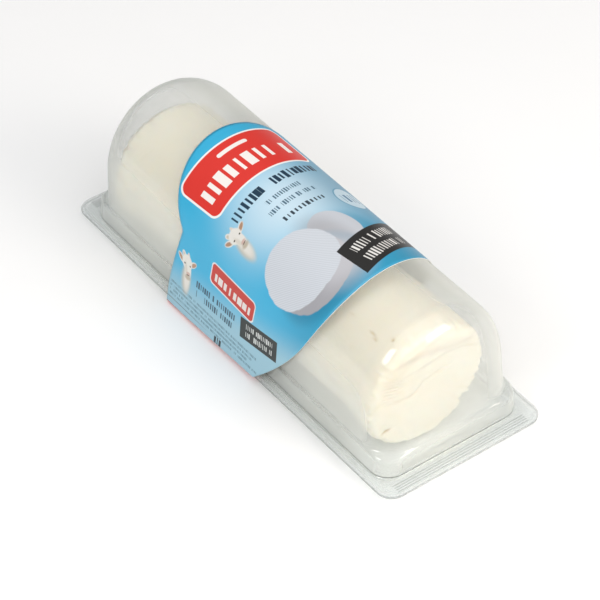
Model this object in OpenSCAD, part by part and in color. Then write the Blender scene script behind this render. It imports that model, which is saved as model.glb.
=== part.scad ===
// Goat's cheese log in a clear formed dome on a shallow clear tray, with a
// printed card sleeve folded round the middle.
// Millimetres, +Z up, X along the log. The underside of the card is at z = 0.

/* [Cheese] */
// length of the log
log_len = 233; // [180:1:250]
// radius of the log
log_r = 36; // [25:0.5:38]
// rounding of the log's two end rims
log_rim_r = 5; // [1:0.5:12]
// how far the log has settled flat where it lies
log_settle = 0.6; // [0.2:0.1:2]
// sideways position of the log in the pack
log_y = -2; // [-3:0.5:3]

/* [Dome] */
// radius of the vault, outside
vault_r = 43.2; // [38:0.2:46]
// height of the vault's axis above the floor
vault_z = 40.4; // [30:0.2:50]
// length of the vaulted body, outside
vault_len = 263; // [240:1:270]
// rounding where the vault turns down into its ends
vault_end_r = 16; // [6:1:24]
// thickness of the formed sheet
sheet_t = 0.5; // [0.3:0.1:1]
// length of the square-shouldered foot of the dome
foot_len = 267.6; // [250:0.2:275]
// width of the square-shouldered foot of the dome
foot_w = 90.4; // [86:0.2:96]
// corner radius of the foot
foot_r = 11.5; // [6:0.5:16]
// height of the foot above the flange
foot_h = 12; // [6:0.5:20]

/* [Flange] */
// length over the flange
flange_len = 290; // [270:1:310]
// width over the flange
flange_w = 102; // [96:1:110]
// corner radius of the flange
flange_r = 9.5; // [4:0.5:14]
// height of the upper face of the flange
flange_z = 6; // [4:0.5:10]
// distance of the pressed bead from the flange edge
bead_in = 3; // [2:0.5:5]
// width of the pressed bead
bead_w = 0.9; // [0.5:0.1:2]
// height of the pressed bead and of the seal ribs
bead_h = 0.4; // [0.2:0.1:0.8]
// seal ribs across each end
rib_count = 4; // [2:1:6]
// spacing of the seal ribs
rib_pitch = 1.7; // [1:0.1:3]

/* [Tray] */
// length of the tray's recess, outside
tray_len = 262; // [240:1:266]
// width of the tray's recess, outside
tray_w = 87; // [76:1:90]
// corner radius of the recess
tray_r = 10; // [6:0.5:16]
// thickness of the tray sheet
tray_t = 0.5; // [0.3:0.1:1]

/* [Sleeve] */
// thickness of the card
card_t = 0.4; // [0.3:0.1:1]
// slack between the card and the dome
card_gap = 0.1; // [0.1:0.1:1]
// height of the fold at the flange edge
fold_z = 2.2; // [1:0.1:4]
// half width of the flat part under the tray
under_half_w = 44.6; // [30:0.2:50]
// centre of the far edge's curve, measured round the card
far_mid = 5; // [-10:1:10]
// far edge's reach along X
far_reach = 69.2; // [50:0.2:90]
// far edge's half span round the card
far_span = 84; // [60:1:120]
// distance round the card to the far edge's notch
notch_at = 62; // [40:1:80]
// far edge's reach beside the tray
far_low_reach = 51.6; // [40:0.2:70]
// near edge's reach along X
near_reach = 75.6; // [50:0.2:90]
// near edge's half span round the card
near_span = 104; // [80:1:130]
// near edge's reach under the tray
near_low_reach = 27; // [10:1:60]

/* [Hidden] */
$fn = 96;
eps = 0.01;
card_r = vault_r + card_gap + card_t;
fold_y = flange_w / 2 + card_gap + card_t;
tray_floor_z = card_t;
log_z = tray_floor_z + tray_t + eps + log_r - log_settle;
// direction of the straight side of the card, as the angle of its outward normal
side_a = atan2(fold_z - vault_z, fold_y) + acos(card_r / norm([fold_y, fold_z - vault_z]));
side_len = norm([card_r * cos(side_a) - fold_y, vault_z + card_r * sin(side_a) - fold_z]);
arc_len = card_r * (90 - side_a) * PI / 180;
edge_steps = 26;

// which part to make

// flat rounded rectangle of exact arcs, centred
module slab2d(len, w, r) {
  square([len - 2 * r, w], center = true);
  square([len, w - 2 * r], center = true);
  for (x = [-1, 1], y = [-1, 1]) translate([x * (len / 2 - r), y * (w / 2 - r)]) circle(r = r);
}

module slab(len, w, r, z0, z1) {
  translate([0, 0, z0]) linear_extrude(z1 - z0) slab2d(len, w, r);
}

// cylinder lying along X with rounded rims; turn is 360 for a whole one
module lying_round(len, r, rim, turn) {
  rotate([90, 0, 90]) rotate_extrude(angle = turn) {
    translate([0, rim - len / 2]) square([r, len - 2 * rim]);
    translate([0, -len / 2]) square([r - rim, len]);
    for (y = [-1, 1]) intersection() {
      translate([r - rim, y * (len / 2 - rim)]) circle(r = rim);
      translate([0, -len]) square([2 * r, 2 * len]);
    }
  }
}

// the cheese lies on the tray floor and has settled a little flat there
module cheese_log() {
  color("#F6F0DC") difference() {
    translate([0, log_y, log_z]) lying_round(log_len, log_r, log_rim_r, 360);
    translate([-log_len, -2 * log_r, log_z - 3 * log_r + log_settle])
      cube([2 * log_len, 4 * log_r, 2 * log_r]);
  }
}

// vaulted body with straight sides, standing on its foot; inset makes the inner face
module dome_form(inset, base) {
  r = vault_r - inset;
  len = vault_len - 2 * inset;
  rim = vault_end_r - inset;
  translate([0, 0, vault_z]) lying_round(len, r, rim, 180);
  slab(len, 2 * r, rim, base, vault_z);
  slab(foot_len - 2 * inset, foot_w - 2 * inset, foot_r - inset, base, flange_z + foot_h - inset);
}

// bead pressed round the flange, and the ribs of the end seals
module flange_relief() {
  difference() {
    slab(flange_len - 2 * bead_in, flange_w - 2 * bead_in, flange_r - bead_in,
         flange_z - eps, flange_z + bead_h);
    slab(flange_len - 2 * bead_in - 2 * bead_w, flange_w - 2 * bead_in - 2 * bead_w,
         flange_r - bead_in - bead_w, flange_z - 1, flange_z + 1);
  }
  for (s = [-1, 1], i = [0 : rib_count - 1])
    translate([s * (foot_len / 2 + 1.2 + i * rib_pitch) - 0.3, 3 * bead_in - flange_w / 2,
               flange_z - eps])
      cube([0.6, flange_w - 6 * bead_in, bead_h]);
}

module dome() {
  color("#E9EEF0", 0.4) difference() {
    union() {
      dome_form(0, flange_z - sheet_t);
      slab(flange_len, flange_w, flange_r, flange_z - sheet_t, flange_z);
      flange_relief();
    }
    dome_form(sheet_t, flange_z - 2 * sheet_t);
  }
}

module base_tray() {
  top = flange_z - sheet_t;
  color("#E4EAEC", 0.4) difference() {
    union() {
      slab(tray_len, tray_w, tray_r, tray_floor_z, top);
      slab(flange_len, flange_w, flange_r, top - tray_t, top);
    }
    slab(tray_len - 2 * tray_t, tray_w - 2 * tray_t, tray_r - tray_t, tray_floor_z + tray_t, top + 1);
  }
}

// section of the card wrap, shrunk inwards by t, as drawn across the log
function fold_in(t) =
  let (n1 = [cos(side_a), sin(side_a)],
       d = [fold_y - under_half_w, fold_z] / norm([fold_y - under_half_w, fold_z]),
       n2 = [d[1], -d[0]])
  [fold_y, fold_z] - t * (n1 + n2) / (1 + n1 * n2);
function under_in(t) =
  let (d = [fold_y - under_half_w, fold_z] / norm([fold_y - under_half_w, fold_z]),
       n1 = [d[1], -d[0]], n2 = [0, -1])
  [under_half_w, 0] - t * (n1 + n2) / (1 + n1 * n2);

module wrap2d(t) {
  r = card_r - t;
  side = [r * cos(side_a), vault_z + r * sin(side_a)];
  half = [under_in(t), fold_in(t), side];
  intersection() {
    translate([0, vault_z]) circle(r = r);
    translate([-2 * r, side[1]]) square([4 * r, 2 * r]);
  }
  polygon([for (p = half) p, for (i = [2 : -1 : 0]) [-half[i][0], half[i][1]]]);
}

// height on the card at a distance s round it from the crown
function card_z(s) = s < arc_len
  ? vault_z + card_r * sin(90 - s * 180 / (PI * card_r))
  : vault_z + card_r * sin(side_a) - (s - arc_len) * (vault_z + card_r * sin(side_a) - fold_z) / side_len;
// reach of the card's two cut edges at a distance s round it
function near_x(s) = let (u = min(1, s / (arc_len + side_len)))
  near_low_reach + (near_reach - near_low_reach) * sqrt(max(0, 1 - pow(u, 2.6)));
function far_x(s) = s < notch_at
  ? far_reach * sqrt(1 - pow((s + far_mid) / far_span, 2))
  : far_low_reach - (far_low_reach - far_reach * sqrt(1 - pow((notch_at + far_mid) / far_span, 2)))
    * pow(max(0, (98 - s) / (98 - notch_at)), 2);

module sleeve_outline() {
  total = arc_len + side_len;
  ss = [for (i = [0 : edge_steps]) total * i / edge_steps];
  polygon([[near_x(0), vault_z + 2 * card_r],
           for (s = ss) [near_x(s), card_z(s)],
           [near_x(total), -card_r], [-far_x(total), -card_r],
           for (i = [edge_steps : -1 : 0]) [-far_x(ss[i]), card_z(ss[i])],
           [-far_x(0), vault_z + 2 * card_r]]);
}

module sleeve() {
  color("#4FB4DA") intersection() {
    difference() {
      translate([-flange_len / 2, 0, 0]) rotate([90, 0, 90]) linear_extrude(flange_len) wrap2d(0);
      translate([-flange_len, 0, 0]) rotate([90, 0, 90]) linear_extrude(2 * flange_len) wrap2d(card_t);
    }
    translate([0, flange_w, 0]) rotate([90, 0, 0]) linear_extrude(2 * flange_w) sleeve_outline();
  }
}

cheese_log();
dome();
base_tray();
sleeve();
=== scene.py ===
"""A one-kilogram log of fresh goat's cheese in its clear formed dome and tray, with the printed card sleeve.

Lengths in the builders below are millimetres in the row frame: X along the log, Z up, floor at 0.
"""
import math

import bpy
import numpy as np
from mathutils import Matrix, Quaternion, Vector, noise


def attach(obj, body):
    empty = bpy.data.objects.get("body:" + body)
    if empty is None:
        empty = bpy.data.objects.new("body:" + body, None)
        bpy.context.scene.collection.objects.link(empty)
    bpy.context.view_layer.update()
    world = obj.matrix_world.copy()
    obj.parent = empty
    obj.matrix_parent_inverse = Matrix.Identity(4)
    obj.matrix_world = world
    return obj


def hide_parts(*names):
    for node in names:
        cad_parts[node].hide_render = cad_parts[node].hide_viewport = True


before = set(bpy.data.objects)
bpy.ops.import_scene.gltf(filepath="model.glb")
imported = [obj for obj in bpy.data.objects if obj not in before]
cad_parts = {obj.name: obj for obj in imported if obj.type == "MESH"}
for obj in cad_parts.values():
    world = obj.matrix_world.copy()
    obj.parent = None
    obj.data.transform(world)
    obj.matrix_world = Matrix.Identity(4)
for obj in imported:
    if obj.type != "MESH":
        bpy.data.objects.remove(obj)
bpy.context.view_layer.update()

MM = 0.001

# ---------------------------------------------------------------- sizes, mm
FLANGE_HALF_L, FLANGE_HALF_W, FLANGE_R = 145.0, 51.0, 9.5
FLANGE_Z, FLANGE_SINK = 6.0, 0.62  # the sealed band lies lower than the flange's edge
TRIM_DEPTH = 1.4
SHEET = 0.42
VAULT_R, VAULT_Z = 43.2, 40.4
WALL_DRAFT = 0.0186
CORNER_R, CROWN_END_R = 19.2, 13.0
NEAR_END, NEAR_LEAN = 132.9, 0.105
FAR_END, FAR_LEAN = 134.2, 0.065
END_CROWNING = 0.8
FOOT_NEAR, FOOT_FAR, FOOT_HALF_W, FOOT_R = 133.7, 134.5, 44.9, 11.5
FOOT_FILLET, FOOT_DRAW = 1.5, 0.19
TRAY_HALF_L, TRAY_HALF_W, TRAY_R = 131.0, 43.5, 10.0
TRAY_FLOOR_TOP, TRAY_LIP_R, TRAY_FOOT_R = 0.9, 0.9, 1.6
SEAL_GAP = 0.06
CARD_T, CARD_GAP = 0.4, 0.1
CARD_R = VAULT_R + CARD_GAP + CARD_T
FOLD_Y = FLANGE_HALF_W + 0.58
LOG_R, LOG_HALF, LOG_Y, LOG_RIM = 36.0, 116.4, -2.0, 3.2
LOG_Z = TRAY_FLOOR_TOP + LOG_R - 0.5
END_INSET = 1.4  # keeps the relief of the ends inside the log's length


# ---------------------------------------------------------------- small helpers
def linear(hex_colour, alpha=1.0):
    """sRGB hex to the linear values that shaders take."""
    parts = [int(hex_colour[i:i + 2], 16) / 255 for i in (1, 3, 5)]
    return tuple(c / 12.92 if c <= 0.04045 else ((c + 0.055) / 1.055) ** 2.4 for c in parts) + (alpha,)


def add(tree, kind, settings=None, *links, **values):
    """Adds one node. links feed its inputs in order; values set or link inputs by name."""
    node = tree.nodes.new(kind)
    for key, value in (settings or {}).items():
        setattr(node, key, value)
    pairs = list(enumerate(links)) + [(k.replace("_", " "), v) for k, v in values.items()]
    for key, value in pairs:
        if value is None:
            continue
        if isinstance(value, bpy.types.NodeSocket):
            tree.links.new(value, node.inputs[key])
        else:
            node.inputs[key].default_value = value
    return node


def new_material(name):
    """A material with an empty node tree."""
    material = bpy.data.materials.new(name)
    material.use_nodes = True
    material.node_tree.nodes.clear()
    return material, material.node_tree


def piece_from(name, points_mm, faces, materials):
    """A mesh object whose place is in its vertices."""
    mesh = bpy.data.meshes.new(name)
    mesh.from_pydata([tuple(c * MM for c in p) for p in points_mm], [], faces)
    for material in materials:
        mesh.materials.append(material)
    mesh.polygons.foreach_set("use_smooth", [True] * len(mesh.polygons))
    mesh.update()
    piece = bpy.data.objects.new(name, mesh)
    bpy.context.scene.collection.objects.link(piece)
    return piece


def baked(piece):
    """Applies a piece's modifiers and leaves a plain mesh."""
    graph = bpy.context.evaluated_depsgraph_get()
    mesh = bpy.data.meshes.new_from_object(piece.evaluated_get(graph))
    piece.modifiers.clear()
    old, piece.data = piece.data, mesh
    mesh.name = piece.name
    bpy.data.meshes.remove(old)
    return piece


def ease(a, b, t):
    """Smooth step from 0 at a to 1 at b."""
    t = min(1.0, max(0.0, (t - a) / (b - a)))
    return t * t * (3 - 2 * t)


# ---------------------------------------------------------------- materials
def trimmed_edge(tree, place, sheet):
    """The sheet with a thin dark grey outline painted as shade on its upright faces at flange height, at the
    trimmed edge and the step.
    """
    shape = add(tree, "ShaderNodeNewGeometry")
    turned = add(tree, "ShaderNodeSeparateXYZ", {}, shape.outputs["True Normal"])
    slant = add(tree, "ShaderNodeMath", {"operation": "ABSOLUTE"}, turned.outputs["Z"])
    upright = add(tree, "ShaderNodeMath", {"operation": "LESS_THAN"}, slant.outputs["Value"], 0.6)
    height = add(tree, "ShaderNodeSeparateXYZ", {}, place)
    low = add(tree, "ShaderNodeMath", {"operation": "LESS_THAN"}, height.outputs["Z"],
              (FLANGE_Z + 0.1) * MM)
    high = add(tree, "ShaderNodeMath", {"operation": "GREATER_THAN"}, height.outputs["Z"],
               (FLANGE_Z - TRIM_DEPTH) * MM)
    cut = add(tree, "ShaderNodeMath", {"operation": "MULTIPLY"}, low.outputs["Value"],
              upright.outputs["Value"])
    trim = add(tree, "ShaderNodeMath", {"operation": "MULTIPLY"}, cut.outputs["Value"],
               high.outputs["Value"])
    # painted shade: dark grey stands in for the clear sheet where its cut edge is seen edge on
    painted_edge_shade = add(tree, "ShaderNodeBsdfPrincipled", {}, Base_Color=linear("#6A6E6B"), Roughness=0.5)
    part = add(tree, "ShaderNodeMath", {"operation": "MULTIPLY"}, trim.outputs["Value"], 0.75)
    edged = add(tree, "ShaderNodeMixShader", {}, part.outputs["Value"], sheet, painted_edge_shade.outputs["BSDF"])
    return edged.outputs["Shader"]


def clear_formed_sheet(name, tint, haze, edge_haze, gloss_roughness):
    """Clear PET, thermoformed: nearly colourless, a little milky, with soft-edged lamp reflections."""
    material, tree = new_material(name)
    where = add(tree, "ShaderNodeTexCoord")
    # forming leaves faint waves about 14 mm apart in the sheet
    waves = add(tree, "ShaderNodeTexNoise", {}, Vector=where.outputs["Object"], Scale=70.0, Detail=1.0,
                Roughness=0.4)
    bump = add(tree, "ShaderNodeBump", {}, Strength=0.012, Distance=0.0004, Height=waves.outputs["Fac"])
    see = add(tree, "ShaderNodeBsdfTransparent", {}, Color=linear(tint))
    gloss = add(tree, "ShaderNodeBsdfPrincipled", {}, Base_Color=linear("#FBFCFC"), Metallic=1.0,
                Roughness=gloss_roughness, Normal=bump.outputs["Normal"])
    # haze in the sheet glows with light from either side
    film = add(tree, "ShaderNodeBsdfPrincipled", {}, Base_Color=linear("#E6E9E8"), Roughness=0.6)
    glow = add(tree, "ShaderNodeBsdfTranslucent", {}, Color=linear("#EEF2F1"))
    milk = add(tree, "ShaderNodeMixShader", {}, 0.5, film.outputs["BSDF"], glow.outputs["BSDF"])
    # a thin sheet reflects alike from both sides, so the share comes from the facing angle (Schlick)
    facing = add(tree, "ShaderNodeLayerWeight", {}, Blend=0.5)
    steep = add(tree, "ShaderNodeMath", {"operation": "POWER"}, facing.outputs["Facing"], 5.0)
    share = add(tree, "ShaderNodeMath", {"operation": "MULTIPLY_ADD"}, steep.outputs["Value"], 0.9, 0.04)
    mirror = add(tree, "ShaderNodeMixShader", {}, share.outputs["Value"], see.outputs["BSDF"],
                 gloss.outputs["BSDF"])
    # seen edge on there is more sheet to look through, so the milkiness gathers there
    long_way = add(tree, "ShaderNodeMath", {"operation": "POWER"}, facing.outputs["Facing"], 1.9)
    veil_seen = add(tree, "ShaderNodeMath", {"operation": "MULTIPLY_ADD"}, long_way.outputs["Value"],
                    edge_haze, haze)
    # haze scatters light onwards, so it holds back less of the lamps than of the view
    lamp_ray = add(tree, "ShaderNodeLightPath")
    passed = add(tree, "ShaderNodeMath", {"operation": "MULTIPLY_ADD"}, lamp_ray.outputs["Is Shadow Ray"],
                 -0.55, 1.0)
    veil_share = add(tree, "ShaderNodeMath", {"operation": "MULTIPLY"}, veil_seen.outputs["Value"],
                     passed.outputs["Value"])
    veil = add(tree, "ShaderNodeMixShader", {}, veil_share.outputs["Value"], mirror.outputs["Shader"],
               milk.outputs["Shader"])
    surface = trimmed_edge(tree, where.outputs["Object"], veil.outputs["Shader"])
    add(tree, "ShaderNodeOutputMaterial", {}, Surface=surface)
    return material


def fresh_goat_cheese():
    """Fresh goat's curd pressed into a log: warm white, moist, slightly see-through, finely grained."""
    material, tree = new_material("fresh goat's cheese, pressed")
    where = add(tree, "ShaderNodeTexCoord")
    clouds = add(tree, "ShaderNodeTexNoise", {}, Vector=where.outputs["Object"], Scale=28.0, Detail=3.0)
    # curd grain about 1.5 mm
    grain = add(tree, "ShaderNodeTexNoise", {}, Vector=where.outputs["Object"], Scale=600.0, Detail=4.0,
                Roughness=0.6)
    tone = add(tree, "ShaderNodeMapRange", {}, clouds.outputs["Fac"], 0.35, 0.65)
    ramp = add(tree, "ShaderNodeValToRGB", {}, tone.outputs["Result"])
    ramp.color_ramp.elements[0].color = linear("#F3EBD6")
    ramp.color_ramp.elements[1].color = linear("#F9F1DF")
    # painted shade: the hollows of the nicks and of the pit darken to yellowish brown with their depth
    hollow_shade_read = add(tree, "ShaderNodeAttribute", {"attribute_name": "hollow_shade"})
    shaded = add(tree, "ShaderNodeMix", {"data_type": "RGBA", "blend_type": "MIX"})
    tree.links.new(hollow_shade_read.outputs["Fac"], shaded.inputs[0])
    tree.links.new(ramp.outputs["Color"], shaded.inputs[6])
    shaded.inputs[7].default_value = linear("#CBAA60")
    # light does not reach into the folds of the cut end
    folds = add(tree, "ShaderNodeAttribute", {"attribute_name": "fold"})
    deep = add(tree, "ShaderNodeMix", {"data_type": "RGBA", "blend_type": "MIX"}, folds.outputs["Fac"])
    tree.links.new(shaded.outputs[2], deep.inputs[6])
    deep.inputs[7].default_value = linear("#D9CDBB")
    bump = add(tree, "ShaderNodeBump", {}, Strength=0.25, Distance=0.0003, Height=grain.outputs["Fac"])
    body = add(tree, "ShaderNodeBsdfPrincipled", {}, Base_Color=deep.outputs[2], Roughness=0.55,
               IOR=1.42, Subsurface_Weight=0.75, Subsurface_Scale=0.006, Normal=bump.outputs["Normal"])
    body.inputs["Subsurface Radius"].default_value = (1.0, 0.8, 0.6)
    add(tree, "ShaderNodeOutputMaterial", {}, Surface=body.outputs["BSDF"])
    return material


def card_edge():
    """The cut edge of white-cored carton board: plain white fibre."""
    material, tree = new_material("carton board, cut edge")
    where = add(tree, "ShaderNodeTexCoord")
    fibre = add(tree, "ShaderNodeTexNoise", {}, Vector=where.outputs["Object"], Scale=900.0)
    ramp = add(tree, "ShaderNodeValToRGB", {}, fibre.outputs["Fac"])
    ramp.color_ramp.elements[0].color = linear("#E9E9E6")
    ramp.color_ramp.elements[1].color = linear("#FAFAF7")
    body = add(tree, "ShaderNodeBsdfPrincipled", {}, Base_Color=ramp.outputs["Color"], Roughness=0.7)
    add(tree, "ShaderNodeOutputMaterial", {}, Surface=body.outputs["BSDF"])
    return material


def card_back():
    """The uncoated white back of the board, faintly mottled."""
    material, tree = new_material("carton board, uncoated back")
    where = add(tree, "ShaderNodeTexCoord")
    fibre = add(tree, "ShaderNodeTexNoise", {}, Vector=where.outputs["Object"], Scale=350.0, Detail=4.0)
    ramp = add(tree, "ShaderNodeValToRGB", {}, fibre.outputs["Fac"])
    ramp.color_ramp.elements[0].color = linear("#E6E4DF")
    ramp.color_ramp.elements[1].color = linear("#F1EFEA")
    body = add(tree, "ShaderNodeBsdfPrincipled", {}, Base_Color=ramp.outputs["Color"], Roughness=0.8)
    add(tree, "ShaderNodeOutputMaterial", {}, Surface=body.outputs["BSDF"])
    return material


# ---------------------------------------------------------------- print on the sleeve
# The map "label" holds millimetres: right along u and up along v as the front is read, crown at u = 0.
def blob(tree, at, centre, radii, turn=0.0, soft=0.02):
    """Mask of an ellipse; soft is the width of its edge as a share of its radius."""
    local = add(tree, "ShaderNodeMapping", {"vector_type": "TEXTURE"}, Vector=at,
                Location=(*centre, 0), Rotation=(0, 0, math.radians(turn)), Scale=(*radii, 1))
    reach = add(tree, "ShaderNodeVectorMath", {"operation": "LENGTH"}, local.outputs["Vector"])
    return add(tree, "ShaderNodeMapRange", {"interpolation_type": "SMOOTHSTEP"}, reach.outputs["Value"],
               1 - soft, 1 + soft, 1.0, 0.0).outputs["Result"]


def plate(tree, at, centre, half, turn=0.0, corner=0.6, soft=0.12):
    """Mask of a rounded rectangle."""
    local = add(tree, "ShaderNodeMapping", {"vector_type": "TEXTURE"}, Vector=at,
                Location=(*centre, 0), Rotation=(0, 0, math.radians(turn)))
    folded = add(tree, "ShaderNodeVectorMath", {"operation": "ABSOLUTE"}, local.outputs["Vector"])
    past = add(tree, "ShaderNodeVectorMath", {"operation": "SUBTRACT"}, folded.outputs["Vector"],
               (half[0] - corner, half[1] - corner, 0))
    out = add(tree, "ShaderNodeVectorMath", {"operation": "MAXIMUM"}, past.outputs["Vector"], (0, 0, 0))
    reach = add(tree, "ShaderNodeVectorMath", {"operation": "LENGTH"}, out.outputs["Vector"])
    return add(tree, "ShaderNodeMapRange", {}, reach.outputs["Value"], corner - soft, corner + soft,
               1.0, 0.0).outputs["Result"]


def strokes(tree, at, centre, half, turn, pitch, share, upright=True):
    """Mask of a row of uneven plain strokes that stands in for a line of print."""
    local = add(tree, "ShaderNodeMapping", {"vector_type": "TEXTURE"}, Vector=at,
                Location=(*centre, 0), Rotation=(0, 0, math.radians(turn)))
    split = add(tree, "ShaderNodeSeparateXYZ", {}, local.outputs["Vector"])
    along, across = split.outputs["X"], split.outputs["Y"]
    if not upright:
        along, across = across, along
        half = (half[1], half[0])
    cells = add(tree, "ShaderNodeMath", {"operation": "DIVIDE"}, along, pitch).outputs["Value"]
    place = add(tree, "ShaderNodeMath", {"operation": "FRACT"}, cells).outputs["Value"]
    number = add(tree, "ShaderNodeMath", {"operation": "FLOOR"}, cells).outputs["Value"]
    seed = add(tree, "ShaderNodeMath", {"operation": "ADD"}, number, centre[0] + 7.3 * centre[1])
    draw = add(tree, "ShaderNodeTexWhiteNoise", {"noise_dimensions": "1D"}, W=seed.outputs["Value"])
    # each stroke takes its own width and height; the narrowest drop out and leave gaps between words
    width = add(tree, "ShaderNodeMapRange", {}, draw.outputs["Value"], 0.1, 1.0, share * 0.18, share * 0.62)
    gap = add(tree, "ShaderNodeMath", {"operation": "GREATER_THAN"}, draw.outputs["Value"], 0.1)
    off = add(tree, "ShaderNodeMath", {"operation": "PINGPONG"}, place, 0.5)
    bars = add(tree, "ShaderNodeMath", {"operation": "SUBTRACT"}, off.outputs["Value"], 0.5)
    near = add(tree, "ShaderNodeMath", {"operation": "ADD"}, bars.outputs["Value"], width.outputs["Result"])
    inked = add(tree, "ShaderNodeMapRange", {}, near.outputs["Value"], -0.12 / pitch, 0.12 / pitch)
    tall = add(tree, "ShaderNodeMapRange", {}, draw.outputs["Color"], 0.0, 1.0, half[1] * 0.72, half[1])
    level = add(tree, "ShaderNodeMath", {"operation": "ABSOLUTE"}, across).outputs["Value"]
    under = add(tree, "ShaderNodeMath", {"operation": "LESS_THAN"}, level, tall.outputs["Result"])
    length = add(tree, "ShaderNodeMath", {"operation": "ABSOLUTE"}, along).outputs["Value"]
    within = add(tree, "ShaderNodeMath", {"operation": "LESS_THAN"}, length, float(half[0]))
    mask = inked.outputs["Result"]
    for part in (gap, under, within):
        both = add(tree, "ShaderNodeMath", {"operation": "MULTIPLY"}, mask, part.outputs["Value"])
        mask = both.outputs["Value"]
    return mask


def coats(tree, ground, layers):
    """Lays colours over ground in order, each through its mask."""
    for mask, colour in layers:
        mix = add(tree, "ShaderNodeMix", {"data_type": "RGBA"}, mask)
        for i, value in ((6, ground), (7, colour)):
            if isinstance(value, str):
                mix.inputs[i].default_value = linear(value)
            else:
                tree.links.new(value, mix.inputs[i])
        ground = mix.outputs[2]
    return ground


def dimmed(tree, mask, share):
    """A share of a mask."""
    return add(tree, "ShaderNodeMath", {"operation": "MULTIPLY"}, mask, share).outputs["Value"]


RED_FROM = 107.9  # distance from the crown at which the red of the flaps starts


def goat_picture(tree, at, ground, centre, turn, size=1.0):
    """A plain white goat's head and neck of ellipses, any goat."""
    local = add(tree, "ShaderNodeMapping", {"vector_type": "TEXTURE"}, Vector=at, Location=(*centre, 0),
                Rotation=(0, 0, math.radians(turn)), Scale=(size, size, 1)).outputs["Vector"]
    wool, shade, ear = "#E6E3DC", "#C9C0AE", "#B08A70"
    return coats(tree, ground, [
        (dimmed(tree, blob(tree, local, (-1.3, -3.8), (3.4, 8.0), -6, 0.4), 0.9), shade),
        (dimmed(tree, blob(tree, local, (-0.6, -3.0), (2.4, 7.4), -6, 0.5), 0.9), wool),
        (blob(tree, local, (0.7, 9.0), (0.9, 1.9), 8, 0.2), "#D9D2C8"),
        (blob(tree, local, (-3.2, 8.8), (1.4, 2.0), 20, 0.2), wool),
        (blob(tree, local, (-3.3, 8.7), (0.8, 1.3), 20, 0.4), shade),
        (blob(tree, local, (4.3, 5.7), (3.1, 1.5), 31, 0.15), wool),
        (blob(tree, local, (4.6, 5.7), (2.5, 1.0), 31, 0.3), ear),
        (blob(tree, local, (-5.4, 6.1), (3.1, 1.6), -45, 0.15), wool),
        (blob(tree, local, (-5.7, 6.3), (2.4, 1.0), -45, 0.3), ear),
        (blob(tree, local, (-0.6, 5.3), (4.0, 4.1), 0, 0.12), wool),
        (blob(tree, local, (0.0, 2.0), (2.7, 4.3), 6, 0.15), wool),
        (dimmed(tree, blob(tree, local, (-1.4, 1.6), (1.0, 3.4), 6, 0.6), 0.5), shade),
        (dimmed(tree, blob(tree, local, (0.0, -2.7), (2.2, 1.3), 0, 0.5), 0.8), "#B3A68F"),
        (dimmed(tree, blob(tree, local, (0.4, -0.5), (1.5, 0.9), 6, 0.4), 0.7), "#C79C8F"),
        (blob(tree, local, (0.3, -1.4), (1.4, 0.32), 6, 0.4), "#7A665E"),
        (blob(tree, local, (-2.5, 4.2), (0.6, 0.45), 0, 0.4), "#4A4038"),
        (blob(tree, local, (1.9, 4.0), (0.5, 0.45), 0, 0.4), "#4A4038"),
    ])


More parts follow.
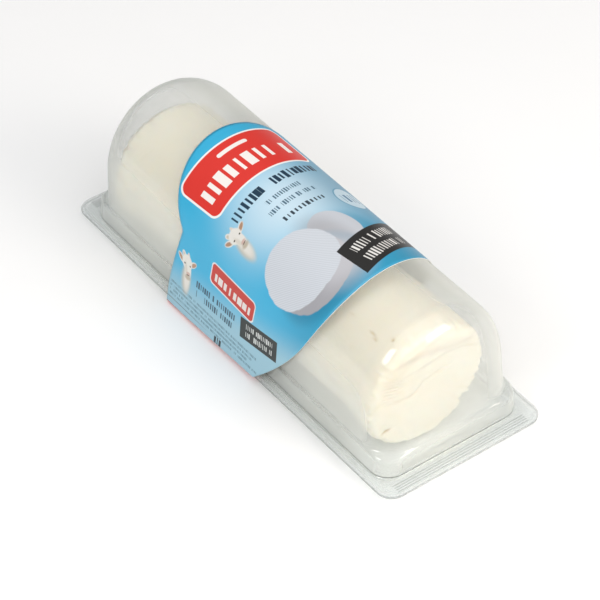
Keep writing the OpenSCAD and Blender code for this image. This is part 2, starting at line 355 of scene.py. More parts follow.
def printed_card():
    """Coated carton board, offset printed and varnished: strong flat inks with a soft sheen."""
    material, tree = new_material("coated carton board, offset print")
    label = add(tree, "ShaderNodeUVMap", {"uv_map": "label"}).outputs["UV"]
    split = add(tree, "ShaderNodeSeparateXYZ", {}, label)
    u, v = split.outputs["X"], split.outputs["Y"]
    # the two side panels carry the same print, so they share one folded map
    away = add(tree, "ShaderNodeMath", {"operation": "ABSOLUTE"}, u)
    left = add(tree, "ShaderNodeMath", {"operation": "MULTIPLY"}, away.outputs["Value"], -1.0)
    side = add(tree, "ShaderNodeCombineXYZ", {}, left.outputs["Value"], v).outputs["Vector"]

    # the side panels' pale field is printed, and painted darker than the front's pale field as shade of the
    # side turned away
    slope = add(tree, "ShaderNodeMath", {"operation": "MULTIPLY_ADD"}, v, 0.16, left.outputs["Value"])
    pale_print_and_side_shade = add(tree, "ShaderNodeMapRange", {"interpolation_type": "SMOOTHSTEP"},
                    slope.outputs["Value"], -66.0, -92.0, 0.0, 1.0).outputs["Result"]
    base = coats(tree, "#36B0DA", [
        (dimmed(tree, blob(tree, label, (-10, -86), (90, 40), 0, 0.6), 0.7), "#2F8FB2"),
        (dimmed(tree, blob(tree, label, (4, 2), (42, 36), 0, 0.75), 1.0), "#93C9E2"),
        (dimmed(tree, blob(tree, label, (-4, -2), (30, 26), 0, 0.9), 0.9), "#CFE4F0"),
        (dimmed(tree, blob(tree, label, (66, -10), (48, 90), 0, 0.6), 0.8), "#3F7F9F"),
        (pale_print_and_side_shade, "#9AC3D3"),
    ])
    cloth = add(tree, "ShaderNodeTexWave", {"wave_type": "BANDS", "bands_direction": "DIAGONAL"},
                Vector=label, Scale=0.4, Distortion=0.5, Detail=1.0)
    rind = coats(tree, "#C6CBD2", [(dimmed(tree, cloth.outputs["Fac"], 0.8), "#D6DBE2")])
    ragged = add(tree, "ShaderNodeTexNoise", {}, Vector=label, Scale=0.13, Detail=1.0)
    wobbly = add(tree, "ShaderNodeVectorMath", {"operation": "ADD"}, label, ragged.outputs["Color"])
    lift = add(tree, "ShaderNodeVectorMath", {"operation": "SUBTRACT"}, wobbly.outputs["Vector"],
               (0.5, 0.5, 0.5)).outputs["Vector"]

    rounds = coats(tree, base, [
        (dimmed(tree, blob(tree, label, (3, -42), (19, 20), 0, 0.2), 0.35), "#2C86A8"),
        (blob(tree, lift, (-0.5, -36), (14.2, 17), 0, 0.03), "#C8CCD3"),
        (dimmed(tree, blob(tree, lift, (-9, -41), (12, 20), 0, 0.6), 0.75), "#98979B"),
        (dimmed(tree, blob(tree, label, (-24, -51), (29, 22), 0, 0.16), 0.75), "#2A84A6"),
        (blob(tree, lift, (-26.5, -46.5), (23.6, 21.6), 0, 0.02), "#A5A4A9"),
        (dimmed(tree, blob(tree, lift, (-12, -50), (16, 18), 0, 0.6), 0.9), "#C3C3C8"),
        (blob(tree, lift, (-28.5, -39), (24.3, 21), 0, 0.02), rind),
    ])
    # a plain red plate with a white rim, in place of any maker's mark
    plates = coats(tree, rounds, [
        (plate(tree, label, (-4, 42.5), (37, 17.6), 3, 6.0), "#F6F3F1"),
        (plate(tree, label, (-4, 42.5), (35.8, 16.4), 3, 5.0), "#DE352C"),
        (strokes(tree, label, (-5, 39), (30, 6.4), 3, 6.4, 0.72), "#F6EFEA"),
        (plate(tree, label, (-4, 52.5), (10, 1.4), 3, 1.3), "#F6EFEA"),
        # painted shade: the side panel's white rim, red plate and white strokes are darker copies of the
        # front plate's inks
        (plate(tree, side, (-67.4, -3.0), (6.9, 20), -3.5, 3.0), "#E6E2E0"),
        (plate(tree, side, (-67.4, -3.0), (6.1, 19.2), -3.5, 2.4), "#C5362C"),
        (strokes(tree, side, (-68.8, -3.0), (2.8, 16), -3.5, 4.4, 0.8, False), "#E4DCD8"),
        (blob(tree, label, (28, -12), (10, 10.5), 0, 0.03), "#5B97B5"),
        (blob(tree, label, (28, -12), (9.2, 9.7), 0, 0.03), "#C3D8E4"),
        (strokes(tree, label, (27.4, -12), (5.4, 4.4), 8, 3.6, 0.5), "#2F6E94"),
    ])
    # lines of print, drawn as plain strokes
    words = coats(tree, plates, [
        (strokes(tree, label, (-22, 14.5), (11.4, 3.6), 5, 3.1, 0.85), "#16354B"),
        (strokes(tree, label, (-4.6, 16), (4.6, 3.6), 5, 3.1, 0.85), "#16354B"),
        (strokes(tree, label, (13.4, 17.8), (13.8, 3.6), 6, 3.1, 0.85), "#16354B"),
        (strokes(tree, label, (-3, 6.2), (12.4, 1.9), 4, 1.5, 0.62), "#4B6B7F"),
        (strokes(tree, label, (-3, -0.8), (15.6, 1.9), 4, 1.5, 0.62), "#4B6B7F"),
        (strokes(tree, label, (-3, -9.6), (14.6, 1.8), 4, 2.6, 0.6), "#2F3E49"),
        (strokes(tree, side, (-81.6, 11), (2.2, 19), 1, 1.9, 0.66, False), "#33566A"),
        (strokes(tree, side, (-87.4, 10.5), (2.2, 16.4), 1, 1.9, 0.66, False), "#33566A"),
        (strokes(tree, side, (-104.4, 5), (2.6, 4.4), 0, 2.2, 0.7, False), "#23323C"),
    ] + [
        (dimmed(tree, strokes(tree, side, (-93.4 - 2.6 * i, low), (0.8, long), 0, 1.1, 0.7, False), 0.8),
         "#56788A")
        for i, (low, long) in enumerate(((10, 40), (12, 38), (14, 36), (9, 41)))
    ])
    # black flag across the lower front, and a small one on each side
    tilted = add(tree, "ShaderNodeMapping", {"vector_type": "TEXTURE"}, Vector=label,
                 Location=(-10, -48.5, 0), Rotation=(0, 0, math.radians(17)))
    run = add(tree, "ShaderNodeSeparateXYZ", {}, tilted.outputs["Vector"])
    lean = add(tree, "ShaderNodeMath", {"operation": "MULTIPLY_ADD"}, run.outputs["Y"], -0.19,
               run.outputs["X"])
    starts = add(tree, "ShaderNodeMath", {"operation": "GREATER_THAN"}, lean.outputs["Value"], 0.0)
    band = plate(tree, tilted.outputs["Vector"], (28, -11.3), (48, 11.3), 0, 0.2)
    flag = add(tree, "ShaderNodeMath", {"operation": "MULTIPLY"}, band, starts.outputs["Value"])
    flags = coats(tree, words, [
        (flag.outputs["Value"], "#242322"),
        (strokes(tree, tilted.outputs["Vector"], (22, -7.0), (17, 3.3), 0, 2.3, 0.6), "#E9E7E3"),
        (strokes(tree, tilted.outputs["Vector"], (22, -16.2), (18, 3.3), 0, 2.3, 0.6), "#E9E7E3"),
        # painted shade: the side flag's white strokes are darker copies of the front flag's
        (plate(tree, side, (-80.6, -28.9), (6.1, 16), 7, 0.2), "#242B2A"),
        (strokes(tree, side, (-78.4, -29.2), (1.7, 11.5), 7, 1.5, 0.6, False), "#D9DCDA"),
        (strokes(tree, side, (-83.0, -29.6), (1.7, 11.5), 7, 1.5, 0.6, False), "#D9DCDA"),
    ])
    goats = goat_picture(tree, label, flags, (-38.6, 1.5), -2, 1.12)
    goats = goat_picture(tree, side, goats, (-80.1, 36.3), -82, 1.12)
    # the flaps folded under the tray are printed solid red
    under = add(tree, "ShaderNodeMath", {"operation": "GREATER_THAN"}, away.outputs["Value"], RED_FROM)
    inks = coats(tree, goats, [(under.outputs["Value"], "#CF3A31")])

    fibre = add(tree, "ShaderNodeTexNoise", {}, Vector=label, Scale=0.8, Detail=3.0)
    bump = add(tree, "ShaderNodeBump", {}, Strength=0.05, Distance=0.0002, Height=fibre.outputs["Fac"])
    body = add(tree, "ShaderNodeBsdfPrincipled", {}, Base_Color=inks, Roughness=0.42, IOR=1.48,
               Normal=bump.outputs["Normal"])
    add(tree, "ShaderNodeOutputMaterial", {}, Surface=body.outputs["BSDF"])
    return material


# ---------------------------------------------------------------- dome
CAP_STEPS, TURN_STEPS, SIDE_STEPS, VAULT_STEPS = 8, 10, 36, 48


def meridian_kinds():
    """The stations of one run from the near end's middle, round a corner, along a side, to the far end."""
    near = [("cap", 1, k / CAP_STEPS) for k in range(CAP_STEPS)]
    near += [("turn", 1, 90 - 90 * k / TURN_STEPS) for k in range(TURN_STEPS + 1)]
    side = [("side", 0, k / SIDE_STEPS) for k in range(1, SIDE_STEPS)]
    far = [("turn", -1, 90 * k / TURN_STEPS) for k in range(TURN_STEPS + 1)]
    far += [("cap", -1, 1 - k / CAP_STEPS) for k in range(1, CAP_STEPS + 1)]
    return near + side + far


def plan_point(kind, near, far, half_w, corner, crowning=0.0):
    """(x, distance from the middle plane) of a station on a rounded rectangle."""
    what, end, value = kind
    if what == "side":
        return (near - corner) + (-(far - corner) - (near - corner)) * value, half_w
    reach = near if end > 0 else far
    if what == "cap":
        return end * (reach + crowning * (1 - value * value)), (half_w - corner) * value
    a = math.radians(value)
    return end * (reach - corner * (1 - math.sin(a))), half_w - corner * (1 - math.cos(a))


def end_at(end, z):
    """Reach of an end wall at a height; both ends lean in as they rise."""
    return NEAR_END - NEAR_LEAN * (z - FLANGE_Z) if end > 0 else FAR_END - FAR_LEAN * (z - FLANGE_Z)


def vault_point(kind, angle):
    """A point of the vault at an angle up from the +Y springing line."""
    what, end, value = kind
    c, s = math.cos(angle), math.sin(angle)
    turn = CORNER_R * c * c + CROWN_END_R * s * s
    if what == "side":
        z = VAULT_Z + VAULT_R * s
        near, far = end_at(1, z) - turn, end_at(-1, z) - turn
        return near + (-far - near) * value, VAULT_R * c, z
    if what == "cap":
        rho = (VAULT_R - turn) * value
        x = end_at(end, VAULT_Z + rho * s) + END_CROWNING * (1 - value * value)
    else:
        a = math.radians(value)
        rho = VAULT_R - turn * (1 - math.cos(a))
        x = end_at(end, VAULT_Z + rho * s) - turn * (1 - math.sin(a))
    return end * x, rho * c, VAULT_Z + rho * s


def dome_levels():
    """Plan outlines from the flange edge up to the springing line, each as near reach, far reach,
    half width, corner radius, z and crowning of the ends."""
    levels = []
    base = FLANGE_Z - FLANGE_SINK

    def between(share, z):
        """An outline between the flange edge, at 0, and the foot with its fillet, at 1."""
        edge = (FLANGE_HALF_L, FLANGE_HALF_L, FLANGE_HALF_W, FLANGE_R)
        foot = [size + FOOT_FILLET for size in (FOOT_NEAR, FOOT_FAR, FOOT_HALF_W, FOOT_R)]
        levels.append([a + (b - a) * share for a, b in zip(edge, foot)] + [z, 0.0])

    def inset(distance, z):
        """The flange's outline, drawn in by a distance."""
        levels.append([FLANGE_HALF_L - distance, FLANGE_HALF_L - distance, FLANGE_HALF_W - distance,
                       FLANGE_R - distance, z, 0.0])

    inset(0.0, FLANGE_Z - 0.25)
    inset(0.15, FLANGE_Z - 0.03)
    inset(0.5, FLANGE_Z)
    for distance, rise in ((2.2, 0.0), (2.5, -0.12), (2.8, -0.5), (3.1, -FLANGE_SINK),
                           (3.6, -FLANGE_SINK)):
        inset(distance, FLANGE_Z + rise)
    for share in (0.9, 0.97):
        between(share, base)
    for a in (0, 18, 36, 54, 72, 90):
        off = FOOT_FILLET * (1 - math.sin(math.radians(a)))
        levels.append([FOOT_NEAR + off, FOOT_FAR + off, FOOT_HALF_W + off, FOOT_R + off,
                       base + FOOT_FILLET * (1 - math.cos(math.radians(a))), 0.0])
    for z in (9.0, 11.5, 14.0, 15.6):
        off = -0.022 * (z - 7)
        levels.append([FOOT_NEAR + off, FOOT_FAR + off, FOOT_HALF_W + off, FOOT_R, z, 0.0])
    for share, z in ((0.12, 16.7), (0.34, 17.5), (0.62, 18.1), (0.88, 18.9), (1.0, 20.2)):
        body = (end_at(1, z), end_at(-1, z), VAULT_R + (VAULT_Z - z) * WALL_DRAFT, CORNER_R)
        foot = (FOOT_NEAR - FOOT_DRAW, FOOT_FAR - FOOT_DRAW, FOOT_HALF_W - FOOT_DRAW, FOOT_R)
        levels.append([f + (b - f) * share for f, b in zip(foot, body)] + [z, END_CROWNING * share])
    for z in np.linspace(23.0, VAULT_Z, 8):
        levels.append([end_at(1, z), end_at(-1, z), VAULT_R + (VAULT_Z - z) * WALL_DRAFT, CORNER_R,
                       float(z), END_CROWNING])
    return levels


def loft(levels, kinds):
    """Rings of points for the levels, each ring running near middle, +Y side, far middle, -Y side."""
    rings = []
    for near, far, half_w, corner, z, crowning in levels:
        right = [plan_point(k, near, far, half_w, corner, crowning) for k in kinds]
        ring = [(x, y, z) for x, y in right] + [(x, -y, z) for x, y in right[-2:0:-1]]
        rings.append(ring)
    return rings


def clear_dome(material):
    """The formed cover: flange, square-shouldered foot, straight walls and a vault closed over them."""
    kinds = meridian_kinds()
    m = len(kinds)
    rings = loft(dome_levels(), kinds)
    n = len(rings[0])
    points = [p for ring in rings for p in ring]
    faces = [(r * n + i, r * n + (i + 1) % n, (r + 1) * n + (i + 1) % n, (r + 1) * n + i)
             for r in range(len(rings) - 1) for i in range(n)]
    top = (len(rings) - 1) * n
    rows = [[top + i for i in range(m)]]
    for j in range(1, VAULT_STEPS):
        angle = math.pi * j / VAULT_STEPS
        first = len(points)
        points += [vault_point(kinds[i], angle) for i in range(1, m - 1)]
        rows.append([top] + list(range(first, first + m - 2)) + [top + m - 1])
    rows.append([top] + [top + n - i for i in range(1, m - 1)] + [top + m - 1])
    for a, b in zip(rows, rows[1:]):
        for i in range(m - 1):
            face = [a[i], a[i + 1], b[i + 1], b[i]]
            faces.append(tuple(dict.fromkeys(face)))
    dome = piece_from("dome_shell", points, faces, [material])
    walls = dome.modifiers.new("sheet", "SOLIDIFY")
    walls.thickness = SHEET * MM
    walls.offset = -1
    return baked(dome)


def clear_tray(material):
    """The shallow lower sheet: a flange under the dome's, and a recess that the log lies in."""
    kinds = meridian_kinds()
    edge_z = FLANGE_Z - FLANGE_SINK - SHEET - SEAL_GAP
    levels = []
    for distance in (0.25, 2.6, 6.0):
        levels.append([FLANGE_HALF_L - distance, FLANGE_HALF_L - distance, FLANGE_HALF_W - distance,
                       FLANGE_R - min(distance, 3), edge_z, 0.0])
    for a in (20, 45, 70, 90):
        off = TRAY_LIP_R * (1 - math.sin(math.radians(a)))
        levels.append([TRAY_HALF_L + off, TRAY_HALF_L + off, TRAY_HALF_W + off, TRAY_R + off,
                       edge_z - TRAY_LIP_R * (1 - math.cos(math.radians(a))), 0.0])
    for a in (0, 22, 45, 68, 90):
        off = -TRAY_FOOT_R * (1 - math.cos(math.radians(a)))
        levels.append([TRAY_HALF_L + off, TRAY_HALF_L + off, TRAY_HALF_W + off, TRAY_R + off,
                       TRAY_FLOOR_TOP + TRAY_FOOT_R * (1 - math.sin(math.radians(a))), 0.0])
    for half_w in (36.0, 26.0, 14.0, 5.0):
        levels.append([TRAY_HALF_L - 6, TRAY_HALF_L - 6, half_w, min(6.0, half_w - 1), TRAY_FLOOR_TOP, 0.0])
    rings = loft(levels, kinds)
    n, m = len(rings[0]), len(kinds)
    points = [p for ring in rings for p in ring]
    faces = [(r * n + i, r * n + (i + 1) % n, (r + 1) * n + (i + 1) % n, (r + 1) * n + i)
             for r in range(len(rings) - 1) for i in range(n)]
    last = (len(rings) - 1) * n
    right = [last + i for i in range(m)]
    left = [last] + [last + n - i for i in range(1, m - 1)] + [last + m - 1]
    for i in range(m - 1):
        faces.append(tuple(dict.fromkeys([right[i], right[i + 1], left[i + 1], left[i]])))
    tray = piece_from("tray_shell", points, faces, [material])
    walls = tray.modifiers.new("sheet", "SOLIDIFY")
    walls.thickness = SHEET * MM
    walls.offset = -1
    return baked(tray)


# ---------------------------------------------------------------- cheese
def crease(y, z, line, width):
    """Height above a line given as (y, z) stations, in widths."""
    ys, zs = zip(*line)
    return (z - float(np.interp(y, ys, zs))) / width


UPPER_FOLD = ((-36, 60), (-16, 61), (-5, 61), (12, 57), (28, 54.5), (38, 53))
MIDDLE_FOLD = ((-38, 47.5), (-20, 49.5), (-5, 51), (8, 52.5), (20, 51), (28.5, 46.5), (36, 42))
LOWER_CREASE = ((-34, 36.5), (-25, 35.5), (-14, 34), (-9.5, 36), (-6, 39.5), (0, 41), (18, 43.5))


def step_up(q):
    """Smooth step from 0 to 1 as q passes 0."""
    return 1 / (1 + math.exp(-max(-30.0, min(30.0, q))))


def blade_ripple(y, z):
    """How strongly the blade dragged here, near the -Y edge, and the ripple that it left."""
    drag = math.exp(-(((y + 27) / 7) ** 2 + ((z - 47) / 10) ** 2))
    return drag, math.sin((y * 0.35 + z) * 2.6)


def near_face_relief(y, z):
    """Folds that the curd kept when the log was cut off: each layer hangs over the one below."""
    reach = math.hypot(y - LOG_Y, z - LOG_Z)
    inside = ease(36, 30, reach)
    h = 1.3 * step_up(crease(y, z, UPPER_FOLD, 1.5)) * ease(-34, -18, y)
    middle = crease(y, z, MIDDLE_FOLD, 0.5)
    h += (1.2 * step_up(middle) - 0.6 * math.exp(-middle * middle)) * inside * ease(-36, -22, y)
    lower = crease(y, z, LOWER_CREASE, 1.1)
    h -= 0.9 * math.exp(-lower * lower) * ease(-32, -22, y) * ease(16, 4, y)
    drag, ripple = blade_ripple(y, z)
    h += 0.34 * drag * ripple
    h += 1.2 * ease(27, 35, reach) * noise.noise(Vector((y * 0.16, z * 0.16, 4.0)))
    return h


def near_face_fold(y, z):
    """How deep in a fold a place of the near end lies, from 0 to 1."""
    inside = ease(36, 30, math.hypot(y - LOG_Y, z - LOG_Z))
    under_rim = crease(y, z, UPPER_FOLD, 1.0)
    deep = 0.42 * ease(-3.4, -0.4, under_rim) * ease(3.6, 0.4, under_rim) * ease(-34, -20, y)
    middle = crease(y, z, MIDDLE_FOLD, 0.55)
    deep = max(deep, 0.5 * math.exp(-middle * middle) * inside * ease(-36, -24, y))
    lower = crease(y, z, LOWER_CREASE, 1.0)
    deep = max(deep, 0.36 * math.exp(-lower * lower) * ease(-32, -22, y) * ease(14, 2, y))
    drag, ripple = blade_ripple(y, z)
    return max(deep, 0.2 * drag * (1 - ripple))


def hollow(offsets, depth):
    """Depth of a rounded hollow; offsets are distances from its middle as shares of its reach."""
    q = sum(o * o for o in offsets)
    return depth * math.exp(-1.5 * q) if q < 6 else 0.0


# small breaks in the log's skin: place along X, degrees round the log, reach along and across,
# depth, and how strongly painted shade darkens it to yellowish brown
NICKS = (
    # on top and on the -Y side
    (94.0, 122.0, 2.9, 0.7, 0.6, 0.7), (97.5, 124.5, 2.2, 0.8, 0.6, 0.6),
    (105.5, 115.5, 0.9, 1.2, 0.9, 0.9), (76.5, 121.0, 2.2, 0.8, 0.4, 0.3),
    (88.0, 141.5, 1.0, 1.8, 0.35, 0.2), (60.5, 136.5, 1.4, 1.0, 0.3, 0.2),
    # on the near rim's -Y side
    (114.0, 164.0, 2.0, 1.6, 1.2, 0.0), (115.5, 183.0, 1.6, 1.6, 1.2, 0.0),
    (113.0, 199.0, 2.2, 2.4, 0.9, 0.0), (109.5, 193.5, 1.3, 1.3, 0.7, 0.0),
    (105.0, 171.0, 1.6, 1.0, 0.5, 0.0), (109.5, 176.0, 1.0, 1.4, 0.6, 0.0),
    # on the near rim's +Y side, low down
    (115.5, 327.0, 3.0, 1.4, 2.0, 0.3), (115.5, 313.0, 3.0, 1.6, 1.7, 0.3),
    (115.5, 338.5, 2.5, 1.5, 1.4, 0.2), (116.0, 300.0, 2.5, 1.8, 1.2, 0.2),
    # at the far end's foot
    (-115.0, 218.0, 3.4, 3.0, 2.4, 0.8), (-109.5, 207.0, 2.0, 2.0, 1.0, 0.3),
)
# a pit low on the near end, darkened with painted shade
PIT_Y, PIT_Z, PIT_REACH_Y, PIT_REACH_Z, PIT_DEPTH = -29.2, 18.4, 2.6, 0.9, 2.4


def bulge(angle, degrees, width):
    """1 at a place round the log, fading out on both sides of it."""
    return math.exp(-((math.degrees(angle) - degrees) / width) ** 2)


def cheese_point(angle, x, rho):
    """A point of the log's skin or end, with the unevenness of fresh curd."""
    end = 1 if x > 0 else -1
    c, s = math.cos(angle), math.sin(angle)
    seed = Vector((x * 0.02, c * 1.4, s * 1.4))
    swell = 0.55 * noise.noise(seed) + 0.16 * noise.noise(seed * 5.3 + Vector((3, 1, 7)))
    swell += 0.05 * noise.noise(Vector((x * 0.5, c * 16, s * 16)))
    near_end = ease(82, 116, x)
    # the near end slumped towards the floor on the -Y side
    swell += near_end * (3.0 * bulge(angle, 208, 26) + 1.0 * bulge(angle, 168, 18))
    # the rims are ragged, most of all low on the near end's +Y side
    rag = ease(105, 117, abs(x))
    swell -= rag * 2.2 * abs(noise.noise(Vector((c * 7, s * 7, end * 9.0))))
    torn = bulge(angle, 318, 26) if end > 0 else 0.0
    swell -= rag * torn * 9.0 * abs(noise.noise(Vector((c * 13, s * 13, 2.0))))
    # the far end slumped a little too
    swell += ease(-90, -117, x) * 2.4 * bulge(angle, 205, 30)
    r = rho * (LOG_R + swell * min(1.0, rho * 1.2))
    return x, LOG_Y - 1.4 + 1.1 * x / LOG_HALF + r * c, LOG_Z + r * s


def cheese_log(material):
    """One closed skin: a fine wrap along the log and a disc of rings on each end."""
    around, along, rings = 300, 210, 34
    flat = 1 - LOG_RIM / LOG_R

    def rim(end, steps):
        """Rows round a rim, by the degrees turned from the flat end."""
        turns = [math.radians(a) for a in steps]
        return [(end * (LOG_HALF - LOG_RIM * (1 - math.cos(a))), flat + (1 - flat) * math.sin(a), False)
                for a in turns]

    # rows as place along X, distance from the axis as a share of the radius, and whether on an end
    rows = [(-LOG_HALF, k / rings * flat, True) for k in range(1, rings + 1)]
    rows += rim(-1, np.linspace(18, 72, 4))
    rows += [(float(x), 1.0, False)
             for x in np.linspace(-LOG_HALF + LOG_RIM, LOG_HALF - LOG_RIM, along)]
    rows += rim(1, np.linspace(72, 18, 4))
    rows += [(LOG_HALF, k / rings * flat, True) for k in range(rings, 0, -1)]
    points, shade_per_point, depths = [], [], []

    def finish(x, y, z, angle, on_end, share):
        """Keeps a point after cutting nicks, folds and the pit into it."""
        dent = shade_here = 0.0
        for place, degrees, along, across, depth, shade_share in NICKS:
            turn = (math.degrees(angle) - degrees + 180) % 360 - 180
            here = hollow(((x - place) / along, LOG_R * math.radians(turn) / across), depth)
            dent += here
            shade_here = max(shade_here, here / depth * shade_share * share)
        pull = dent * (ease(0.7, 0.9, share) if on_end else 1.0)
        y -= pull * math.cos(angle)
        z -= pull * math.sin(angle)
        if on_end:
            pit = 0.0
            if x > 0:
                pit = hollow(((y - PIT_Y) / PIT_REACH_Y, (z - PIT_Z) / PIT_REACH_Z), PIT_DEPTH)
                x += near_face_relief(y, z)
            x += 0.5 * noise.noise(Vector((y * 0.09, z * 0.09, x))) - pit - END_INSET
            x += 0.12 * noise.noise(Vector((y * 0.5, z * 0.5, x)))
            shade_here = max(shade_here, min(1.0, pit / 1.5))
        elif x > LOG_HALF - 8:
            x += (near_face_relief(y, z) - END_INSET) * ease(LOG_HALF - 8, LOG_HALF, x)
        elif x < -LOG_HALF + 8:
            x += 1.0 * ease(-LOG_HALF + 8, -LOG_HALF, x)
        z = max(z, TRAY_FLOOR_TOP + 0.03)
        points.append((x, y, z))
        shade_per_point.append(shade_here)
        depths.append(near_face_fold(y, z) if on_end and x > 0 else 0.0)

    for x, share, on_end in rows:
        for i in range(around):
            angle = 2 * math.pi * i / around
            px, y, z = cheese_point(angle, x, share)
            finish(px, y, z, angle, on_end, share)
    faces = []
    for r in range(len(rows) - 1):
        for i in range(around):
            j = (i + 1) % around
            faces.append((r * around + i, r * around + j, (r + 1) * around + j, (r + 1) * around + i))
    for x, ring in ((-LOG_HALF, 0), (LOG_HALF, len(rows) - 1)):
        middle = len(points)
        finish(x, LOG_Y, LOG_Z, 0.0, True, 0.0)
        for i in range(around):
            j = (i + 1) % around
            a, b = ring * around + i, ring * around + j
            faces.append((middle, b, a) if x < 0 else (middle, a, b))
    log = piece_from("cheese_skin", points, faces, [material])
    mesh = log.data
    # painted shade of the hollows, handed to the cheese material
    hollow_shade = mesh.attributes.new("hollow_shade", "FLOAT", "POINT")
    hollow_shade.data.foreach_set("value", shade_per_point)
    fold = mesh.attributes.new("fold", "FLOAT", "POINT")
    fold.data.foreach_set("value", depths)
    return log


# ---------------------------------------------------------------- sleeve
def leaving_angle(fold_z):
    """Angle at which the card leaves the vault for a lower fold at a given height."""
    dz = fold_z - VAULT_Z
    return math.atan2(dz, FOLD_Y) + math.acos(CARD_R / math.hypot(FOLD_Y, dz))


def near_cut(s):
    """Reach of the near cut edge at a distance s round the card; s grows down the -Y side."""
    reach, turn = 75.6, 14.0
    if s > turn:
        return reach - 45.9 * ((s - turn) / 92.0) ** 2.1
    t = min(0.95, (turn - s) / 124.0)
    return reach * (1 - t * t) ** 0.5


def far_cut(s):
    """Reach of the far cut edge: a round shoulder, a notch, then the side panel."""
    reach, round_half, notch, low, panel_end = 69.3, 80.0, 61.0, 51.8, 98.0
    t = abs(s + 3.0)
    if t < notch:
        return reach * (1 - (t / round_half) ** 2) ** 0.5
    at_notch = reach * (1 - (notch / round_half) ** 2) ** 0.5
    return low - (low - at_notch) * max(0.0, (panel_end - t) / (panel_end - notch)) ** 1.3


FOLD_NEAR_Z, FOLD_FAR_Z = 4.6, 0.9
FOLD_BEND = 0.9
FLAP_Y = 44.2
ARC_ROWS, SIDE_ROWS, BEND_ROWS, UNDER_ROWS, SLEEVE_COLUMNS = 40, 26, 6, 12, 72


def sleeve_shell(print_face, back, edge):
    """The card band as one closed loop of rows along the pack, given its thickness at the end."""
    def fold_height(x):
        """The lower fold rises towards the near end, where it rests on the flange."""
        return FOLD_FAR_Z + (FOLD_NEAR_Z - FOLD_FAR_Z) * min(1.0, max(0.0, (x + 51.5) / 83.0))

    def section(x):
        """Outer line of the card at x, from the crown down one side to the middle underneath, as
        (distance round the card, y, z)."""
        fold_z = fold_height(x)
        a = leaving_angle(fold_z)
        line = []
        arc = CARD_R * (math.pi / 2 - a)
        for k in range(ARC_ROWS + 1):
            s = arc * k / ARC_ROWS
            t = math.pi / 2 - s / CARD_R
            line.append((s, CARD_R * math.cos(t), VAULT_Z + CARD_R * math.sin(t)))
        y0, z0 = line[-1][1:]
        side = math.hypot(FOLD_Y - y0, fold_z - z0)
        for k in range(1, SIDE_ROWS + 1):
            d = (side - FOLD_BEND) * k / SIDE_ROWS
            line.append((arc + d, y0 + (FOLD_Y - y0) * d / side, z0 + (fold_z - z0) * d / side))
        y1, z1 = line[-1][1:]
        dy, dz = FLAP_Y - FOLD_Y, -fold_z
        under = math.hypot(dy, dz)
        y2, z2 = FOLD_Y + dy / under * FOLD_BEND, fold_z + dz / under * FOLD_BEND
        for k in range(1, BEND_ROWS + 1):
            t = k / BEND_ROWS
            y = (1 - t) ** 2 * y1 + 2 * t * (1 - t) * FOLD_Y + t * t * y2
            z = (1 - t) ** 2 * z1 + 2 * t * (1 - t) * fold_z + t * t * z2
            line.append((arc + side - FOLD_BEND + 2 * FOLD_BEND * t, y, z))
        s2 = arc + side + FOLD_BEND
        for k in range(1, 5):
            t = k / 4
            line.append((s2 + (under - FOLD_BEND) * t, y2 + (FLAP_Y - y2) * t, z2 * (1 - t)))
        for k in range(1, UNDER_ROWS + 1):
            t = k / UNDER_ROWS
            line.append((s2 + under - FOLD_BEND + FLAP_Y * t, FLAP_Y * (1 - t), 0.0))
        return line

    template = section(0.0)
    rows = len(template)
    fold_s = [row[0] for row in template]
    columns = SLEEVE_COLUMNS
    grid, labels = [], []
    order = [(1, r) for r in range(rows - 1, 0, -1)] + [(-1, r) for r in range(rows - 1)]
    # side +1 is the +Y side, where s is negative
    last_fold = ARC_ROWS + SIDE_ROWS + BEND_ROWS
    for side, r in order:
        s_cut = -side * min(fold_s[r], fold_s[last_fold])
        x_near, x_far = near_cut(s_cut), -far_cut(s_cut)
        line, label = [], []
        for c in range(columns + 1):
            x = x_near + (x_far - x_near) * c / columns
            s, y, z = section(x)[r]
            line.append((x, side * y, z))
            label.append((side * s, -x))
        grid.append(line)
        labels.append(label)
    points = [p for line in grid for p in line]
    w = columns + 1
    count = len(grid)
    faces, corners = [], []
    for r in range(count):
        q = (r + 1) % count
        for c in range(columns):
            faces.append((r * w + c, r * w + c + 1, q * w + c + 1, q * w + c))
            wrap = [labels[r][c], labels[r][c + 1], labels[q][c + 1], labels[q][c]]
            if q == 0:
                wrap = [labels[r][c], labels[r][c + 1], labels[r][c + 1], labels[r][c]]
            corners += wrap
    card = piece_from("sleeve_card", points, faces, [print_face, back, edge])
    layer = card.data.uv_layers.new(name="label")
    layer.data.foreach_set("uv", [v for pair in corners for v in pair])
    walls = card.modifiers.new("board", "SOLIDIFY")
    walls.thickness = CARD_T * MM
    walls.offset = -1
    walls.material_offset = 1
    walls.material_offset_rim = 2
    return card


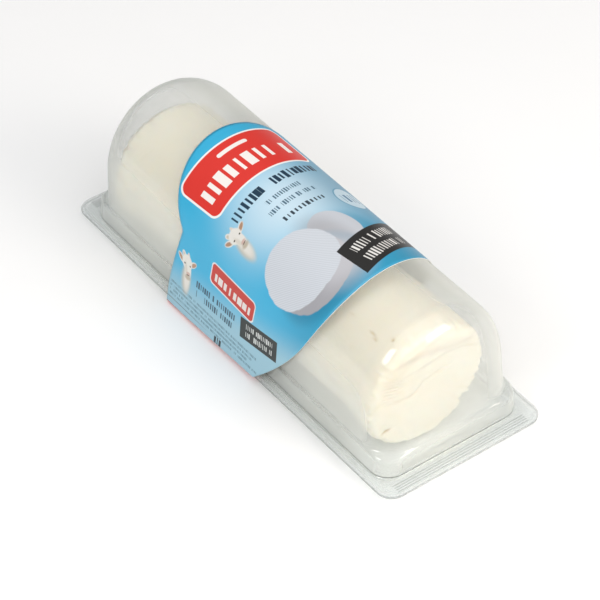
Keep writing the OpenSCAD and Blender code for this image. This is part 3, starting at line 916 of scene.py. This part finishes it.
# ---------------------------------------------------------------- seal ribs by Geometry Nodes
def seal_ribs(material):
    """Fine raised lines across both ends of the flange, left by the sealing jaws."""
    tree = bpy.data.node_groups.new("seal ribs", "GeometryNodeTree")
    sizes = {"Pitch": 1.55 * MM, "Width": 0.45 * MM, "Length": 84.0 * MM, "Rise": 0.2 * MM,
             "From middle": 137.0 * MM, "Seat": (FLANGE_Z - FLANGE_SINK - 0.03) * MM}
    for name in sizes:
        tree.interface.new_socket(name=name, in_out="INPUT", socket_type="NodeSocketFloat")
    tree.interface.new_socket(name="Count", in_out="INPUT", socket_type="NodeSocketInt")
    tree.interface.new_socket(name="Material", in_out="INPUT", socket_type="NodeSocketMaterial")
    tree.interface.new_socket(name="Geometry", in_out="OUTPUT", socket_type="NodeSocketGeometry")
    given = add(tree, "NodeGroupInput").outputs
    both = []
    for way in (1, -1):
        start_x = add(tree, "ShaderNodeMath", {"operation": "MULTIPLY"}, given["From middle"], float(way))
        step_x = add(tree, "ShaderNodeMath", {"operation": "MULTIPLY"}, given["Pitch"], float(way))
        start = add(tree, "ShaderNodeCombineXYZ", {}, start_x.outputs["Value"], 0.0, given["Seat"])
        step = add(tree, "ShaderNodeCombineXYZ", {}, step_x.outputs["Value"])
        line = add(tree, "GeometryNodeMeshLine", {"mode": "OFFSET"}, Count=given["Count"],
                   Start_Location=start.outputs["Vector"], Offset=step.outputs["Vector"])
        size = add(tree, "ShaderNodeCombineXYZ", {}, given["Width"], given["Length"], given["Rise"])
        rib = add(tree, "GeometryNodeMeshCube", {}, Size=size.outputs["Vector"], Vertices_X=2,
                  Vertices_Y=12, Vertices_Z=2)
        set_out = add(tree, "GeometryNodeInstanceOnPoints", {}, Points=line.outputs["Mesh"],
                      Instance=rib.outputs["Mesh"])
        both.append(set_out.outputs["Instances"])
    joined = add(tree, "GeometryNodeJoinGeometry")
    for part in both:
        tree.links.new(part, joined.inputs[0])
    real = add(tree, "GeometryNodeRealizeInstances", {}, joined.outputs["Geometry"])
    coated = add(tree, "GeometryNodeSetMaterial", {}, Geometry=real.outputs["Geometry"],
                 Material=given["Material"])
    add(tree, "NodeGroupOutput", {}, coated.outputs["Geometry"])
    ribs = piece_from("seal_ribs", [(0, 0, 0)], [], [material])
    maker = ribs.modifiers.new("ribs", "NODES")
    maker.node_group = tree
    wanted = dict(sizes, Count=4, Material=material)
    for item in tree.interface.items_tree:
        if item.in_out == "INPUT":
            maker[item.identifier] = wanted[item.name]
    return baked(ribs)


# ---------------------------------------------------------------- build
dome_sheet = clear_formed_sheet("PET sheet, clear, thermoformed", "#FDFDFD", 0.09, 1.0, 0.10)
tray_sheet = clear_formed_sheet("PET sheet, clear, tray gauge", "#FBFCFC", 0.07, 0.6, 0.12)
cheese = fresh_goat_cheese()
front = printed_card()

pieces = [
    (clear_dome(dome_sheet), "dome", "clear_dome"),
    (clear_tray(tray_sheet), "base_tray", "clear_tray"),
    (cheese_log(cheese), "cheese_log", "cheese"),
    (sleeve_shell(front, card_back(), card_edge()), "sleeve", "printed_card"),
    (seal_ribs(dome_sheet), None, "clear_dome"),
]
for piece, node, slot in pieces:
    if node:
        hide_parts(node)
    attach(piece, "root")


# ---------------------------------------------------------------- floor, light and camera
def studio_floor():
    """A wide sheet of white paper under the pack."""
    material, tree = new_material("white studio paper")
    where = add(tree, "ShaderNodeTexCoord")
    fibre = add(tree, "ShaderNodeTexNoise", {}, Vector=where.outputs["Object"], Scale=40.0)
    ramp = add(tree, "ShaderNodeValToRGB", {}, fibre.outputs["Fac"])
    ramp.color_ramp.elements[0].color = linear("#FBFBFB")
    ramp.color_ramp.elements[1].color = linear("#FCFCFC")
    body = add(tree, "ShaderNodeBsdfPrincipled", {}, Base_Color=ramp.outputs["Color"], Roughness=0.9)
    body.inputs["Specular IOR Level"].default_value = 0.1
    add(tree, "ShaderNodeOutputMaterial", {}, Surface=body.outputs["BSDF"])
    half = 4000
    corners = [(-half, -half, 0), (half, -half, 0), (half, half, 0), (-half, half, 0)]
    floor = piece_from("studio floor", corners, [(0, 1, 2, 3)], [material])


def softbox(name, place, aim, size, watts, colour="#FFFFFF"):
    """A rectangular lamp at a place, turned to its aim."""
    lamp = bpy.data.lights.new(name, "AREA")
    lamp.shape = "RECTANGLE"
    lamp.size, lamp.size_y = size
    lamp.energy = watts
    lamp.color = linear(colour)[:3]
    holder = bpy.data.objects.new(name, lamp)
    holder.location = place
    holder.rotation_mode = "QUATERNION"
    holder.rotation_quaternion = (Vector(aim) - Vector(place)).to_track_quat("-Z", "Y")
    bpy.context.scene.collection.objects.link(holder)


def lamp_place(azimuth, elevation, distance):
    """Where a lamp stands, by degrees round from +X and up, and metres from the middle."""
    a, e = math.radians(azimuth), math.radians(elevation)
    level = distance * math.cos(e)
    return level * math.cos(a), level * math.sin(a), distance * math.sin(e)


def studio_room():
    """Soft light of a white room, brighter overhead and towards the near end."""
    world = bpy.data.worlds.new("studio")
    bpy.context.scene.world = world
    world.use_nodes = True
    tree = world.node_tree
    tree.nodes.clear()
    way = add(tree, "ShaderNodeTexCoord")
    lean = add(tree, "ShaderNodeVectorMath", {"operation": "DOT_PRODUCT"}, way.outputs["Generated"],
               (0.5, -0.05, 0.865))
    level = add(tree, "ShaderNodeMapRange", {}, lean.outputs["Value"], 0.0, 1.0, 0.17, 0.89)
    sky = add(tree, "ShaderNodeBackground", {}, linear("#FFFFFF"), level.outputs["Result"])
    add(tree, "ShaderNodeOutputWorld", {}, sky.outputs["Background"])


def camera():
    """A long lens from the near end's -Y side, looking down on the pack."""
    azimuth, elevation, roll = (math.radians(d) for d in (55.006, 42.091, -1.673))
    distance, aim = 1.4170, Vector((-0.0032, 0.00287, 0.006))
    back = Vector((math.sin(azimuth) * math.cos(elevation), -math.cos(azimuth) * math.cos(elevation),
                   math.sin(elevation)))
    lens = bpy.data.cameras.new("camera")
    lens.sensor_width = 36.0
    lens.lens = 157.47
    lens.clip_start, lens.clip_end = 0.05, 50.0
    holder = bpy.data.objects.new("camera", lens)
    holder.location = aim + back * distance
    holder.rotation_mode = "QUATERNION"
    level = (-back).to_track_quat("-Z", "Y")
    holder.rotation_quaternion = level @ Quaternion((0, 0, 1), roll)
    bpy.context.scene.collection.objects.link(holder)
    bpy.context.scene.camera = holder


studio_floor()
middle = (0, 0, 0.03)
softbox("right softbox", lamp_place(22, 30, 1.3), middle, (0.62, 0.5), 5.6, "#FFF5EA")
softbox("near scrim", lamp_place(-10, 66, 1.5), (0.05, 0, 0.03), (2.2, 2.0), 8.4)
softbox("left softbox", lamp_place(-78, 39, 1.3), middle, (0.40, 0.46), 3.6)
studio_room()
camera()
bpy.context.scene.view_settings.view_transform = "Standard"
# a look through the pack crosses many walls of sheet
bpy.context.scene.cycles.transparent_max_bounces = 32
bpy.context.scene.cycles.max_bounces = 12

bpy.context.view_layer.update()
